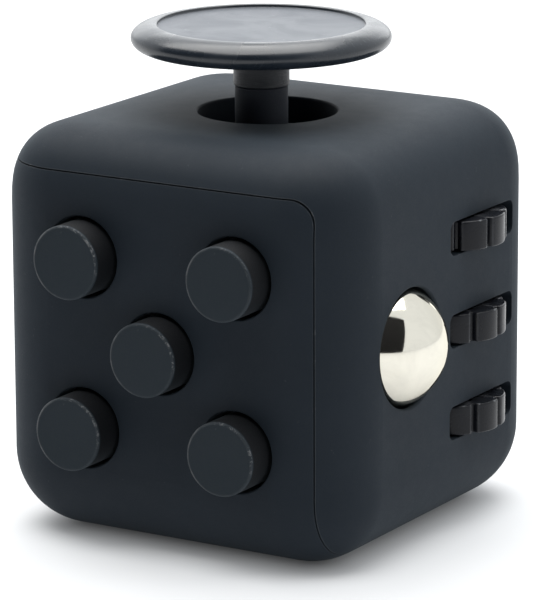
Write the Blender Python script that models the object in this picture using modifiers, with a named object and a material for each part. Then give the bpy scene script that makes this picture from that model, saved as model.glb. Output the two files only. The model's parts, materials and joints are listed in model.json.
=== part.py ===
"""Fidget cube: a 33 mm desk toy with a working mechanism on five of its faces.

Frame: metres, +Z up, origin at the centre of the underside, so the cube stands on z = 0.
  -Y  click face   five push buttons
  +X  roll face    a steel ball and three thumb gears
  +Z  glide face   a joystick that slides sideways
  -X  spin face    a dial
  +Y  flip face    a rocker
  -Z  rest face    a shallow thumb dish with a flat border to stand on
Dimensions below are in millimetres, and mm() turns them into metres.
"""

import math

import bmesh
import bpy
from mathutils import Matrix, Vector

# ----------------------------------------------------------------------------
# driving dimensions, millimetres
# ----------------------------------------------------------------------------
SIDE = 33.0            # cube across flats
HALF = SIDE / 2
MID_Z = HALF           # height of the cube's centre
BUTTON_MID_Z = MID_Z + 0.06
EDGE_R = 6.3           # outer edge and corner radius
TOP_FULL = 2.5         # how full the top edges' rounding is; 2 would be a quarter circle
WALL = 2.2             # side and top walls
FLOOR = 3.4            # bottom wall, thick enough to hold the thumb dish
INNER_R = 2.5          # cavity edge radius
SEAM = 3.0             # seam inset from the top, right and back faces
SEAM_GAP = 0.2         # gap between the two shell halves
SEAM_R = 2.0           # the seam turns its corners on this radius
LIP_T = 0.8            # registration lip thickness
LIP_GAP = 0.3
LIP_REACH = 1.4        # how far the lip passes the seam
GAP = 0.3              # standing gap between neighbouring pieces

BUTTON_R = 2.95
BUTTON_HOLE_R = 3.25
BUTTON_PITCH_X = 7.0
BUTTON_PITCH_Z = 6.9
BUTTON_PROUD = 2.4
BUTTON_TRAVEL = 1.0
BUTTON_FLANGE_R = 3.8

GLIDE_HOLE_R = 5.6
STEM_R = 2.13
STEM_X = -0.55         # the joystick rests a little off the hole's centre
CAP_RIM_R = 10.4       # outer radius of the cap
CAP_RIM_UP = 1.1       # height of its rounded rim above the widest line
CAP_RIM_Z = 5.9        # rim centre above the top face

BALL_R = 5.1
BALL_X = 14.0
BALL_Y = -5.8
BALL_Z = 16.8
BALL_HOLE_R = 4.8

GEAR_TEETH = 10
GEAR_TIP_R = 4.9
GEAR_ROOT_R = 4.35
GEAR_T = 2.4
GEAR_X = 13.15
GEAR_Y = 5.65
GEAR_MID_Z = 16.55
GEAR_PITCH_Z = 7.53
AXLE_R = 1.0
SLOT_LEN = 10.3
SLOT_H = 2.9

DIAL_R = 9.0
DIAL_RECESS_R = 9.3
DIAL_RECESS = 1.3

ROCKER_HALF_W = 4.6
ROCKER_HALF_L = 6.9
ROCKER_PIVOT_Y = 13.0
ROCKER_TILT = 10.0     # degrees either side of level
ROCKER_PIN_R = 1.0

DISH_R = 10.0
DISH_DEPTH = 1.6

SCREW_HEAD_R = 0.9
SCREW_HEAD_T = 0.6
SCREW_R = 0.5
SCREW_HOLE_R = 0.8
POST_R = 1.45

SEG = 20               # sides of an ordinary round
SEG_FINE = 28          # sides of a large round


def mm(*values):
    """Millimetres to metres; one value gives a number, several give a Vector."""
    if len(values) == 1:
        return values[0] * 0.001
    return Vector(values) * 0.001


# ----------------------------------------------------------------------------
# scene, collections and materials
# ----------------------------------------------------------------------------
for old in list(bpy.data.objects):
    bpy.data.objects.remove(old, do_unlink=True)

PARTS = bpy.data.collections.new("fidget_cube")
CUTTERS = bpy.data.collections.new("cutters")
bpy.context.scene.collection.children.link(PARTS)
bpy.context.scene.collection.children.link(CUTTERS)


def material(name, colour, roughness, metallic=0.0):
    m = bpy.data.materials.new(name)
    m.use_nodes = True
    shader = m.node_tree.nodes["Principled BSDF"]
    shader.inputs["Base Color"].default_value = (*colour, 1.0)
    shader.inputs["Roughness"].default_value = roughness
    shader.inputs["Metallic"].default_value = metallic
    m.diffuse_color = (*colour, 1.0)
    return m


SHELL = material("shell_soft_black", (0.021, 0.028, 0.035), 0.62)
BUTTON = material("button_soft_black", (0.022, 0.030, 0.037), 0.55)
GLOSS = material("gloss_black", (0.012, 0.013, 0.017), 0.12)
GEAR = material("gear_gloss_black", (0.014, 0.015, 0.019), 0.22)
STEM = material("stem_matte_black", (0.008, 0.009, 0.011), 0.6)
FRAME = material("frame_plastic", (0.06, 0.065, 0.07), 0.5)
SLIP = material("slip_plastic", (0.55, 0.56, 0.57), 0.35)
CHROME = material("polished_chrome", (0.86, 0.86, 0.85), 0.06, 1.0)
STEEL = material("bright_steel", (0.62, 0.62, 0.61), 0.28, 1.0)
SPRING = material("spring_steel", (0.5, 0.5, 0.5), 0.3, 1.0)
SILICONE = material("silicone_grey", (0.30, 0.31, 0.32), 0.7)


# ----------------------------------------------------------------------------
# shape helpers
# ----------------------------------------------------------------------------
TO_AXIS = {                      # carries local +Z onto a world axis
    "+Z": Matrix.Identity(3),
    "-Z": Matrix.Rotation(math.pi, 3, "X"),
    "+X": Matrix.Rotation(math.pi / 2, 3, "Y"),
    "-X": Matrix.Rotation(-math.pi / 2, 3, "Y"),
    "-Y": Matrix.Rotation(math.pi / 2, 3, "X"),
    "+Y": Matrix.Rotation(-math.pi / 2, 3, "X"),
}


def make(name, mesh, at=(0, 0, 0), axis="+Z", mat=None, cutter=False, smooth=True):
    """An object from a mesh, with its local +Z along axis and its origin at a point."""
    ob = bpy.data.objects.new(name, mesh)
    ob.matrix_world = Matrix.Translation(mm(*at)) @ TO_AXIS[axis].to_4x4()
    (CUTTERS if cutter else PARTS).objects.link(ob)
    if cutter:
        ob.hide_render = True
        ob.display_type = "WIRE"
    if mat and not mesh.materials:
        mesh.materials.append(mat)
    if smooth and not cutter:
        mesh.shade_smooth()
        mesh.set_sharp_from_angle(angle=math.radians(35))
    return ob


def box_mesh(name, lo, hi, round_r=0.0, segments=4, along=None):
    """A block between two corners, measured from its centre. round_r rounds the edges that run along one axis."""
    bm = bmesh.new()
    bmesh.ops.create_cube(bm, size=1.0)
    size = [hi[i] - lo[i] for i in range(3)]
    bmesh.ops.scale(bm, vec=mm(*size), verts=bm.verts)
    if round_r:
        edges = list(bm.edges)
        if along is not None:
            edges = [e for e in bm.edges if abs((e.verts[0].co - e.verts[1].co).normalized()[along]) > 0.9]
        bmesh.ops.bevel(bm, geom=edges, offset=mm(round_r), offset_type="OFFSET",
                        segments=segments, profile=0.5, affect="EDGES")
    mesh = bpy.data.meshes.new(name)
    bm.to_mesh(mesh)
    bm.free()
    return mesh


def box(name, lo, hi, mat=None, cutter=False, round_r=0.0, segments=4, along=None):
    at = [(lo[i] + hi[i]) / 2 for i in range(3)]
    return make(name, box_mesh(name, lo, hi, round_r, segments, along), at, "+Z", mat, cutter)


def rod(name, radius, low, high, at, axis, mat=None, cutter=False, segments=SEG, top_radius=None):
    """A cylinder or cone along an axis, from low to high measured from at."""
    bm = bmesh.new()
    bmesh.ops.create_cone(bm, cap_ends=True, segments=segments, radius1=mm(radius),
                          radius2=mm(radius if top_radius is None else top_radius), depth=mm(high - low),
                          matrix=Matrix.Translation(mm(0, 0, (low + high) / 2)))
    mesh = bpy.data.meshes.new(name)
    bm.to_mesh(mesh)
    bm.free()
    return make(name, mesh, at, axis, mat, cutter)


def turned(name, profile, at, axis, mat=None, cutter=False, steps=SEG):
    """A turned piece: (radius, height) points, down the outer side, spun by a Screw modifier."""
    mesh = bpy.data.meshes.new(name)
    bm = bmesh.new()
    points = [bm.verts.new(mm(r, 0.0, z)) for r, z in profile]
    closed = profile[0][0] > 1e-6
    for a, b in zip(points, points[1:] + ([points[0]] if closed else [])):
        bm.edges.new((a, b))
    bm.to_mesh(mesh)
    bm.free()
    ob = make(name, mesh, at, axis, mat, cutter, smooth=False)
    screw = ob.modifiers.new("turn", "SCREW")
    screw.axis = "Z"
    screw.angle = math.tau
    screw.steps = steps
    screw.render_steps = steps
    screw.use_merge_vertices = True
    screw.merge_threshold = 0.000005
    screw.use_smooth_shade = True
    return ob


def arc(cx, cz, r, start, end, n):
    """Points (radius, height) on a circle, angles in degrees from the outward direction."""
    return [(cx + r * math.cos(math.radians(start + (end - start) * i / n)),
             cz + r * math.sin(math.radians(start + (end - start) * i / n))) for i in range(n + 1)]


def solid_of(ob):
    """The evaluated shape of an object as a plain mesh object that can be cut."""
    bpy.context.view_layer.update()
    graph = bpy.context.evaluated_depsgraph_get()
    mesh = bpy.data.meshes.new_from_object(ob.evaluated_get(graph))
    bm = bmesh.new()
    bm.from_mesh(mesh)
    bmesh.ops.remove_doubles(bm, verts=bm.verts, dist=0.000005)
    bmesh.ops.recalc_face_normals(bm, faces=bm.faces)
    bm.to_mesh(mesh)
    bm.free()
    new = bpy.data.objects.new(ob.name, mesh)
    new.matrix_world = ob.matrix_world.copy()
    for c in ob.users_collection:
        c.objects.link(new)
    new.hide_render, new.display_type = ob.hide_render, ob.display_type
    name = ob.name
    bpy.data.objects.remove(ob, do_unlink=True)
    new.name = name
    return new


def outline(name, loops, thickness, at, axis, mat=None, cutter=False):
    """A flat piece: closed loops of (x, y) points, the first the outside and the others holes, made thick about z = 0."""
    curve = bpy.data.curves.new(name, "CURVE")
    curve.dimensions = "2D"
    curve.fill_mode = "BOTH"
    curve.extrude = mm(thickness / 2)
    for loop in loops:
        spline = curve.splines.new("POLY")
        spline.points.add(len(loop) - 1)
        for p, (x, y) in zip(spline.points, loop):
            p.co = (mm(x), mm(y), 0.0, 1.0)
        spline.use_cyclic_u = True
    ob = bpy.data.objects.new(name, curve)
    ob.matrix_world = Matrix.Translation(mm(*at)) @ TO_AXIS[axis].to_4x4()
    (CUTTERS if cutter else PARTS).objects.link(ob)
    if mat:
        curve.materials.append(mat)
    ob = solid_of(ob)
    ob.data.shade_smooth()
    ob.data.set_sharp_from_angle(angle=math.radians(35))
    return ob


def circle(r, n=SEG, cx=0.0, cy=0.0):
    return [(cx + r * math.cos(math.tau * i / n), cy + r * math.sin(math.tau * i / n)) for i in range(n)]


def combine(ob, other, how="DIFFERENCE"):
    m = ob.modifiers.new(other.name, "BOOLEAN")
    m.operation = how
    m.solver = "EXACT"
    m.object = other
    return ob


def coil(name, radius, wire, low, high, turns, at, axis, mat, per_turn=12):
    """A compression spring along an axis."""
    curve = bpy.data.curves.new(name, "CURVE")
    curve.dimensions = "3D"
    curve.bevel_depth = mm(wire)
    curve.bevel_resolution = 1
    curve.use_fill_caps = True
    n = int(turns * per_turn)
    spline = curve.splines.new("POLY")
    spline.points.add(n)
    for i, p in enumerate(spline.points):
        a = math.tau * turns * i / n
        z = low + wire + (high - low - 2 * wire) * i / n
        p.co = (mm(radius * math.cos(a)), mm(radius * math.sin(a)), mm(z), 1.0)
    curve.materials.append(mat)
    ob = bpy.data.objects.new(name, curve)
    ob.matrix_world = Matrix.Translation(mm(*at)) @ TO_AXIS[axis].to_4x4()
    PARTS.objects.link(ob)
    return solid_of(ob)


def screw_mesh(length):
    """A pan-head screw with a slot: its head above z = 0 and its shank below."""
    body = turned("screw_blank", [(0, SCREW_HEAD_T), (SCREW_HEAD_R * 0.7, SCREW_HEAD_T), (SCREW_HEAD_R, SCREW_HEAD_T * 0.6),
                                  (SCREW_HEAD_R, 0), (SCREW_R, 0), (SCREW_R, -length + 0.4), (SCREW_R * 0.5, -length), (0, -length)],
                  (0, 0, 0), "+Z", STEEL, cutter=True, steps=10)
    slot = box("screw_slot", (-1.5, -0.13, SCREW_HEAD_T - 0.25), (1.5, 0.13, SCREW_HEAD_T + 0.5), cutter=True)
    combine(body, slot)
    mesh = solid_of(body)
    data = mesh.data
    bpy.data.objects.remove(mesh, do_unlink=True)
    bpy.data.objects.remove(slot, do_unlink=True)
    data.shade_smooth()
    data.set_sharp_from_angle(angle=math.radians(35))
    return data


def screws(prefix, length, places, axis):
    """Equal screws; places are the undersides of their heads, and axis is the way the heads point."""
    mesh = screw_mesh(length)
    mesh.name = prefix
    return [make(f"{prefix}_{i + 1}", mesh, at, axis, smooth=False) for i, at in enumerate(places)]


# ----------------------------------------------------------------------------
# casing: two three-faced halves that meet on a seam and register on a lip
# ----------------------------------------------------------------------------
def rounded_block(name, lo, hi, radius, segments, cutter=True, mat=None):
    return box(name, lo, hi, mat=mat, cutter=cutter, round_r=radius, segments=segments)


def casing_block(name):
    """The cube's outside: a block with rounded edges, those round the top face a little fuller than a quarter circle."""
    ob = rounded_block(name, (-HALF, -HALF, 0), (HALF, HALF, SIDE), EDGE_R, 6, cutter=False, mat=SHELL)
    for v in ob.data.vertices:
        t = (v.co.z - mm(HALF - EDGE_R)) / mm(EDGE_R)
        if 0.0 < t < 1.0:
            c = math.sqrt(1.0 - t * t)
            v.co.z = mm(HALF - EDGE_R) + mm(EDGE_R) * (1.0 - c ** TOP_FULL) ** (1.0 / TOP_FULL)
    return ob


SX = HALF - SEAM                   # seam plane on x and y
SZ = SIDE - SEAM                   # seam plane on z
IN = HALF - WALL                   # cavity half width
TOP_IN = SIDE - WALL               # cavity ceiling

cavity = rounded_block("cavity", (-IN, -IN, FLOOR), (IN, IN, TOP_IN), INNER_R, 3)


def seam_block(name, inset):
    """The block that holds the front half: outside its three outer planes everything belongs to the rear half."""
    lo = (-HALF - 5, -HALF - 5, -5)
    hi = (SX - inset, SX - inset, SZ - inset)
    bm = bmesh.new()
    bmesh.ops.create_cube(bm, size=1.0)
    bmesh.ops.scale(bm, vec=mm(*[hi[i] - lo[i] for i in range(3)]), verts=bm.verts)
    edges = [e for e in bm.edges
             if sum(1 for i in range(3) if all(v.co[i] > 0 for v in e.verts)) == 2]
    bmesh.ops.bevel(bm, geom=edges, offset=mm(SEAM_R), offset_type="OFFSET", segments=3, profile=0.5, affect="EDGES")
    mesh = bpy.data.meshes.new(name)
    bm.to_mesh(mesh)
    bm.free()
    return make(name, mesh, [(lo[i] + hi[i]) / 2 for i in range(3)], "+Z", cutter=True)


front_side = seam_block("front_side", SEAM_GAP / 2)
rear_cut = seam_block("rear_cut", -SEAM_GAP / 2)

# front half: click, spin and rest faces
shell_front = casing_block("shell_front")
front_cavity = rounded_block("front_cavity", (-IN, -IN, FLOOR), (IN + 5, IN + 5, TOP_IN + 5), INNER_R, 3)
combine(shell_front, front_cavity)
combine(shell_front, front_side, "INTERSECT")

BUTTONS = {
    "top_left": (-BUTTON_PITCH_X, BUTTON_PITCH_Z),
    "top_right": (BUTTON_PITCH_X, BUTTON_PITCH_Z),
    "centre": (0.0, 0.0),
    "bottom_left": (-BUTTON_PITCH_X, -BUTTON_PITCH_Z),
    "bottom_right": (BUTTON_PITCH_X, -BUTTON_PITCH_Z),
}
for key, (bx, bz) in BUTTONS.items():
    hole = rod(f"button_hole_{key}", BUTTON_HOLE_R, 1.0, 6.0, (bx, -HALF + 4.0, BUTTON_MID_Z + bz), "-Y", cutter=True, segments=SEG)
    combine(shell_front, hole)

PLATE_POSTS = [(0.0, 8.2), (0.0, -8.2), (-9.2, 0.0)]
POST_END_Y = -12.0
for i, (px, pz) in enumerate(PLATE_POSTS):
    post = rod(f"plate_post_{i}", POST_R, 0.0, 3.3, (px, POST_END_Y, MID_Z + pz), "-Y", cutter=True, segments=18)
    drill = rod(f"plate_drill_{i}", SCREW_HOLE_R, -1.0, 1.9, (px, POST_END_Y, MID_Z + pz), "-Y", cutter=True, segments=14)
    combine(shell_front, post, "UNION")
    combine(shell_front, drill)

dial_recess = rod("dial_recess", DIAL_RECESS_R, -DIAL_RECESS, 3.0, (-HALF, 0, MID_Z), "-X", cutter=True, segments=SEG_FINE)
dial_bore = rod("dial_bore", 2.3, -4.0, 3.0, (-HALF, 0, MID_Z), "-X", cutter=True, segments=SEG)
combine(shell_front, dial_recess)
combine(shell_front, dial_bore)

dish_sphere_r = (DISH_R ** 2 + DISH_DEPTH ** 2) / (2 * DISH_DEPTH)
dish_profile = arc(0.0, 0.0, dish_sphere_r, 90.0, 90.0 - math.degrees(math.asin((DISH_R + 2) / dish_sphere_r)), 8)
dish_profile = [(max(r, 0.0), z - dish_sphere_r + DISH_DEPTH) for r, z in dish_profile]
dish_profile[0] = (0.0, DISH_DEPTH)
thumb_dish = turned("thumb_dish", dish_profile + [(DISH_R + 2, -3.0), (0.0, -3.0)], (0, 0, 0), "+Z", cutter=True, steps=SEG_FINE)
combine(shell_front, thumb_dish)

# rear half: glide, roll and flip faces, with the lip that passes behind the seam
shell_rear = casing_block("shell_rear")
combine(shell_rear, cavity)
combine(shell_rear, rear_cut)

LI = IN - LIP_GAP
lip = rounded_block("lip", (-LI, -LI, FLOOR + LIP_GAP), (IN + 0.6, IN + 0.6, TOP_IN + 0.6), INNER_R - LIP_GAP, 2)
lip_core = rounded_block("lip_core", (-LI + LIP_T, -LI + LIP_T, FLOOR + LIP_GAP + LIP_T), (IN + 3, IN + 3, TOP_IN + 3),
                         INNER_R - LIP_GAP - LIP_T, 2)
lip_trim = box("lip_trim", (-HALF - 2, -HALF - 2, -2), (SX - LIP_REACH, SX - LIP_REACH, SZ - LIP_REACH), cutter=True)
lip_keep = rounded_block("lip_keep", (-HALF + 0.5, -HALF + 0.5, 0.5), (IN + 0.3, IN + 0.3, TOP_IN + 0.3), INNER_R, 2)
combine(lip, lip_core)
combine(lip, lip_trim)
combine(lip, lip_keep, "INTERSECT")
combine(shell_rear, lip, "UNION")

glide_hole = rod("glide_hole", GLIDE_HOLE_R, -4.0, 3.0, (0, 0, SIDE), "+Z", cutter=True, segments=SEG_FINE)
combine(shell_rear, glide_hole)

ball_hole = turned("ball_hole", [(0.0, 4.0), (BALL_HOLE_R, 4.0), (BALL_HOLE_R, -0.3), (BALL_R + 0.3, -1.3), (BALL_R + 0.3, -5.0), (0.0, -5.0)],
                   (HALF, BALL_Y, BALL_Z), "+X", cutter=True, steps=SEG_FINE)
combine(shell_rear, ball_hole)

GEAR_Z = {"upper": GEAR_MID_Z + GEAR_PITCH_Z, "middle": GEAR_MID_Z, "lower": GEAR_MID_Z - GEAR_PITCH_Z}
for key, gz in GEAR_Z.items():
    slot = box(f"gear_slot_{key}", (IN - 2, GEAR_Y - SLOT_LEN / 2, gz - SLOT_H / 2), (HALF + 2, GEAR_Y + SLOT_LEN / 2, gz + SLOT_H / 2),
               cutter=True, round_r=0.7, segments=3, along=0)
    combine(shell_rear, slot)

ROCKER_OPEN_W = 5.0
ROCKER_OPEN_L = 8.0
rocker_opening = box("rocker_opening", (-ROCKER_OPEN_W, IN - 2, MID_Z - ROCKER_OPEN_L), (ROCKER_OPEN_W, HALF + 2, MID_Z + ROCKER_OPEN_L),
                     cutter=True, round_r=1.0, segments=3, along=1)
combine(shell_rear, rocker_opening)


def rear_post(name, at, axis, length, radius=POST_R, drill_past=0.4):
    """A screw post standing on the inside of a wall: at is the middle of its free end and axis points into the wall."""
    post = rod(name, radius, 0.0, length + 0.6, at, axis, cutter=True, segments=18)
    drill = rod(name + "_drill", SCREW_HOLE_R, -1.0, length + drill_past, at, axis, cutter=True, segments=14)
    combine(shell_rear, post, "UNION")
    combine(shell_rear, drill)


GLIDE_POST = 11.5
GLIDE_POST_Z = 28.6
glide_places = [(sx * GLIDE_POST, sy * GLIDE_POST) for sx, sy in ((-1, -1), (1, -1), (1, 1), (-1, 1))]
for i, (gx, gy) in enumerate(glide_places):
    rear_post(f"glide_post_{i}", (gx, gy, GLIDE_POST_Z), "+Z", TOP_IN - GLIDE_POST_Z, radius=1.35)

BRIDGE_SCREW_Z = (BALL_Z + 8.3, BALL_Z - 8.3)
BRIDGE_POST_X = 12.6
for i, bz in enumerate(BRIDGE_SCREW_Z):
    rear_post(f"bridge_post_{i}", (BRIDGE_POST_X, BALL_Y, bz), "+X", IN - BRIDGE_POST_X)

BRACKET_SCREW = [(12.2, GEAR_MID_Z + GEAR_PITCH_Z / 2), (12.2, GEAR_MID_Z - GEAR_PITCH_Z / 2)]
BRACKET_POST_X = 12.0
for i, (by, bz) in enumerate(BRACKET_SCREW):
    rear_post(f"bracket_post_{i}", (BRACKET_POST_X, by, bz), "+X", IN - BRACKET_POST_X, radius=1.35)

ROCKER_SCREW_Z = (MID_Z + 9.6, MID_Z - 9.6)
ROCKER_POST_Y = 12.6
for i, rz in enumerate(ROCKER_SCREW_Z):
    rear_post(f"rocker_post_{i}", (0.0, ROCKER_POST_Y, rz), "+Y", IN - ROCKER_POST_Y, radius=1.3)

# ----------------------------------------------------------------------------
# click face: five buttons on three click domes and two silent pads
# ----------------------------------------------------------------------------
FLANGE_TOP = IN - GAP              # distance of the flange's front from the cube's centre
NUB_END = 12.9
for key, (bx, bz) in BUTTONS.items():
    profile = [(0.0, HALF + BUTTON_PROUD)]
    profile += [(1.6, HALF + BUTTON_PROUD - 0.02)]
    profile += arc(BUTTON_R - 0.2, HALF + BUTTON_PROUD - 0.24, 0.2, 80, 0, 2)
    profile += [(BUTTON_R, FLANGE_TOP), (BUTTON_FLANGE_R, FLANGE_TOP), (BUTTON_FLANGE_R, FLANGE_TOP - 0.7),
                (1.2, FLANGE_TOP - 0.7), (1.2, NUB_END), (0.0, NUB_END)]
    profile = [(r, z - HALF) for r, z in profile]
    turned(f"button_{key}", profile, (bx, -HALF, BUTTON_MID_Z + bz), "-Y", BUTTON, steps=SEG)

PLATE_FRONT_Y = -11.7
PLATE_T = 0.8
plate = box("button_plate", (-11.0, PLATE_FRONT_Y, MID_Z - 11.0), (9.2, PLATE_FRONT_Y + PLATE_T, MID_Z + 9.7), FRAME, round_r=1.2, segments=3, along=1)
for i, (px, pz) in enumerate(PLATE_POSTS):
    drill = rod(f"plate_hole_{i}", SCREW_HOLE_R, -2.0, 2.0, (px, PLATE_FRONT_Y, MID_Z + pz), "-Y", cutter=True, segments=14)
    combine(plate, drill)
screws("button_plate_screw", 2.9, [(px, PLATE_FRONT_Y + PLATE_T + GAP, MID_Z + pz) for px, pz in PLATE_POSTS], "+Y")

DOME_BASE = -PLATE_FRONT_Y + GAP   # distance of the dome's rim from the centre
for key in ("top_left", "centre", "bottom_right"):
    bx, bz = BUTTONS[key]
    turned(f"click_dome_{key}", [(0.0, 0.6), (1.1, 0.54), (2.2, 0.0), (1.9, 0.0), (1.0, 0.34), (0.0, 0.42)],
           (bx, -DOME_BASE, BUTTON_MID_Z + bz), "-Y", SPRING, steps=16)
for key in ("top_right", "bottom_left"):
    bx, bz = BUTTONS[key]
    turned(f"silent_pad_{key}", [(0.0, 0.6), (1.2, 0.6), (1.5, 0.25), (2.2, 0.2), (2.2, 0.0), (1.0, 0.0), (0.8, 0.3), (0.0, 0.3)],
           (bx, -DOME_BASE, BUTTON_MID_Z + bz), "-Y", SILICONE, steps=16)

# ----------------------------------------------------------------------------
# glide face: a capped joystick whose flange slides under the top wall
# ----------------------------------------------------------------------------
dish_floor = CAP_RIM_Z + CAP_RIM_UP - 0.2
cap_profile = [(0.0, dish_floor - 0.03), (6.0, dish_floor - 0.015), (8.2, dish_floor), (8.32, CAP_RIM_Z + CAP_RIM_UP), (8.7, CAP_RIM_Z + CAP_RIM_UP)]
cap_profile += [(9.35, CAP_RIM_Z + 0.95), (9.9, CAP_RIM_Z + 0.68), (10.26, CAP_RIM_Z + 0.34), (CAP_RIM_R, CAP_RIM_Z),
                (10.26, CAP_RIM_Z - 0.43), (9.85, CAP_RIM_Z - 0.79), (9.2, CAP_RIM_Z - 0.96)]
cap_profile += [(7.6, CAP_RIM_Z - 1.1), (4.6, CAP_RIM_Z - 1.3), (3.0, CAP_RIM_Z - 1.5), (2.4, CAP_RIM_Z - 1.8),
                (2.25, CAP_RIM_Z - 2.1), (2.25, 2.3), (1.45, 2.3), (1.45, 4.3), (0.0, 4.3)]
turned("joystick_cap", cap_profile, (STEM_X, 0, SIDE), "+Z", GLOSS, steps=32)

FLANGE_Z = TOP_IN - GAP - SIDE     # below the top face
turned("joystick_stem", [(0.0, 4.0), (1.15, 4.0), (1.15, 2.0), (STEM_R, 2.0), (STEM_R, FLANGE_Z), (8.9, FLANGE_Z), (8.9, FLANGE_Z - 1.2), (0.0, FLANGE_Z - 1.2)],
       (STEM_X, 0, SIDE), "+Z", STEM, steps=24)
turned("glide_washer", [(8.4, FLANGE_Z - 1.5), (8.4, FLANGE_Z - 1.9), (3.0, FLANGE_Z - 1.9), (3.0, FLANGE_Z - 1.5)],
       (STEM_X, 0, SIDE), "+Z", SLIP, steps=24)
RETAINER_Z = GLIDE_POST_Z - GAP
retainer = box("glide_retainer", (-12.8, -12.8, RETAINER_Z - 0.9), (12.8, 12.8, RETAINER_Z), FRAME, round_r=1.6, segments=3, along=2)
combine(retainer, rod("retainer_window", 5.0, -3.0, 3.0, (0, 0, RETAINER_Z), "+Z", cutter=True, segments=32))
for i, (gx, gy) in enumerate(glide_places):
    combine(retainer, rod(f"retainer_hole_{i}", SCREW_HOLE_R, -3.0, 3.0, (gx, gy, RETAINER_Z), "+Z", cutter=True, segments=14))
screws("glide_retainer_screw", 3.0, [(gx, gy, RETAINER_Z - 0.9 - GAP) for gx, gy in glide_places], "-Z")

# ----------------------------------------------------------------------------
# roll face: a steel ball in a sprung cup
# ----------------------------------------------------------------------------
ball_mesh = bpy.data.meshes.new("roller_ball")
bm = bmesh.new()
bmesh.ops.create_uvsphere(bm, u_segments=24, v_segments=14, radius=mm(BALL_R))
bm.to_mesh(ball_mesh)
bm.free()
make("roller_ball", ball_mesh, (BALL_X, BALL_Y, BALL_Z), "+X", CHROME)

SEAT_IN = BALL_R + 0.2
SEAT_OUT = SEAT_IN + 0.4
CUP_IN = SEAT_OUT + 0.3
CUP_OUT = CUP_IN + 0.6
turned("ball_seat", arc(0, 0, SEAT_OUT, -28, -62, 3) + arc(0, 0, SEAT_IN, -62, -28, 3),
       (BALL_X, BALL_Y, BALL_Z), "+X", SLIP, steps=24)
cup_profile = arc(0, 0, CUP_OUT, -20, -74, 4) + [(1.5, -CUP_OUT - 0.05), (1.5, -9.0), (0.0, -9.0)]
cup_profile = [(0.0, -CUP_IN)] + arc(0, 0, CUP_IN, -80, -20, 4) + cup_profile
turned("ball_carrier", cup_profile, (BALL_X, BALL_Y, BALL_Z), "+X", FRAME, steps=24)

BRIDGE_BACK_X = 4.6
BRIDGE_T = 1.0
coil("ball_spring", 2.6, 0.2, BRIDGE_BACK_X + BRIDGE_T + GAP, BALL_X - CUP_OUT - 0.25, 2.2, (0, BALL_Y, BALL_Z), "+X", SPRING)
LEG_Z0 = 7.2
LEG_Z1 = 9.4
bridge = box("ball_bridge", (BRIDGE_BACK_X, BALL_Y - 2.0, BALL_Z - LEG_Z1), (BRIDGE_POST_X - GAP, BALL_Y + 2.0, BALL_Z + LEG_Z1), FRAME)
combine(bridge, box("bridge_window", (BRIDGE_BACK_X + BRIDGE_T, BALL_Y - 4.0, BALL_Z - LEG_Z0), (BRIDGE_POST_X + 2, BALL_Y + 4.0, BALL_Z + LEG_Z0), cutter=True))
combine(bridge, rod("bridge_guide", 1.6, -3.0, 3.0, (BRIDGE_BACK_X, BALL_Y, BALL_Z), "+X", cutter=True, segments=20))
for i, bz in enumerate(BRIDGE_SCREW_Z):
    combine(bridge, rod(f"bridge_hole_{i}", SCREW_HOLE_R, -2.0, 12.0, (BRIDGE_BACK_X, BALL_Y, bz), "+X", cutter=True, segments=14))
screws("ball_bridge_screw", 9.9, [(BRIDGE_BACK_X - GAP, BALL_Y, bz) for bz in BRIDGE_SCREW_Z], "-X")

# ----------------------------------------------------------------------------
# roll face: three thumb gears on one axle in a bracket
# ----------------------------------------------------------------------------
GEAR_PHASE = {"upper": -31.5, "middle": -14.5, "lower": -12.5}   # degrees from +X to a tooth's middle


def gear_outline(phase):
    """Broad rounded teeth with narrow valleys between them."""
    step = 360.0 / GEAR_TEETH
    shape = [(-0.5, 0.0), (-0.42, 0.12), (-0.33, 0.86), (-0.17, 1.0), (0.0, 1.03), (0.17, 1.0), (0.33, 0.86), (0.42, 0.12)]
    points = []
    for k in range(GEAR_TEETH):
        for offset, height in shape:
            a = math.radians(phase + (k + offset) * step)
            r = GEAR_ROOT_R + (GEAR_TIP_R - 0.02 - GEAR_ROOT_R) * height
            points.append((r * math.cos(a), r * math.sin(a)))
    return points


for key, gz in GEAR_Z.items():
    outline(f"thumb_gear_{key}", [gear_outline(GEAR_PHASE[key]), circle(AXLE_R + 0.08, 20)], GEAR_T, (GEAR_X, GEAR_Y, gz), "+Z", GEAR)

rod("gear_axle", AXLE_R, 5.3 - GEAR_MID_Z, 26.5 - GEAR_MID_Z, (GEAR_X, GEAR_Y, GEAR_MID_Z), "+Z", STEEL, segments=20)

BRACKET_BACK = 6.7
ARM_T = 1.5
arm_z = [6.1, GEAR_MID_Z - GEAR_PITCH_Z / 2, GEAR_MID_Z + GEAR_PITCH_Z / 2, 26.1]
bracket = box("gear_bracket", (BRACKET_BACK, GEAR_Y - 2.6, arm_z[0] - 0.9), (BRACKET_BACK + 1.2, GEAR_Y + 2.6, arm_z[-1] + 0.8), FRAME)
for i, az in enumerate(arm_z):
    t = ARM_T if 0 < i < 3 else 1.4
    arm = box(f"bracket_arm_{i}", (BRACKET_BACK + 0.4, GEAR_Y - 2.3, az - t / 2), (IN - GAP, GEAR_Y + 2.3, az + t / 2), cutter=True,
              round_r=0.9, segments=2, along=2)
    combine(bracket, arm, "UNION")
for i, (by, bz) in enumerate(BRACKET_SCREW):
    ear = box(f"bracket_ear_{i}", (BRACKET_POST_X - GAP - 1.1, GEAR_Y + 1.0, bz - 1.3), (BRACKET_POST_X - GAP, by + 1.3, bz + 1.3), cutter=True)
    combine(bracket, ear, "UNION")
    combine(bracket, rod(f"bracket_hole_{i}", SCREW_HOLE_R, -2.0, 2.0, (BRACKET_POST_X - 1, by, bz), "+X", cutter=True, segments=14))
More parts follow.
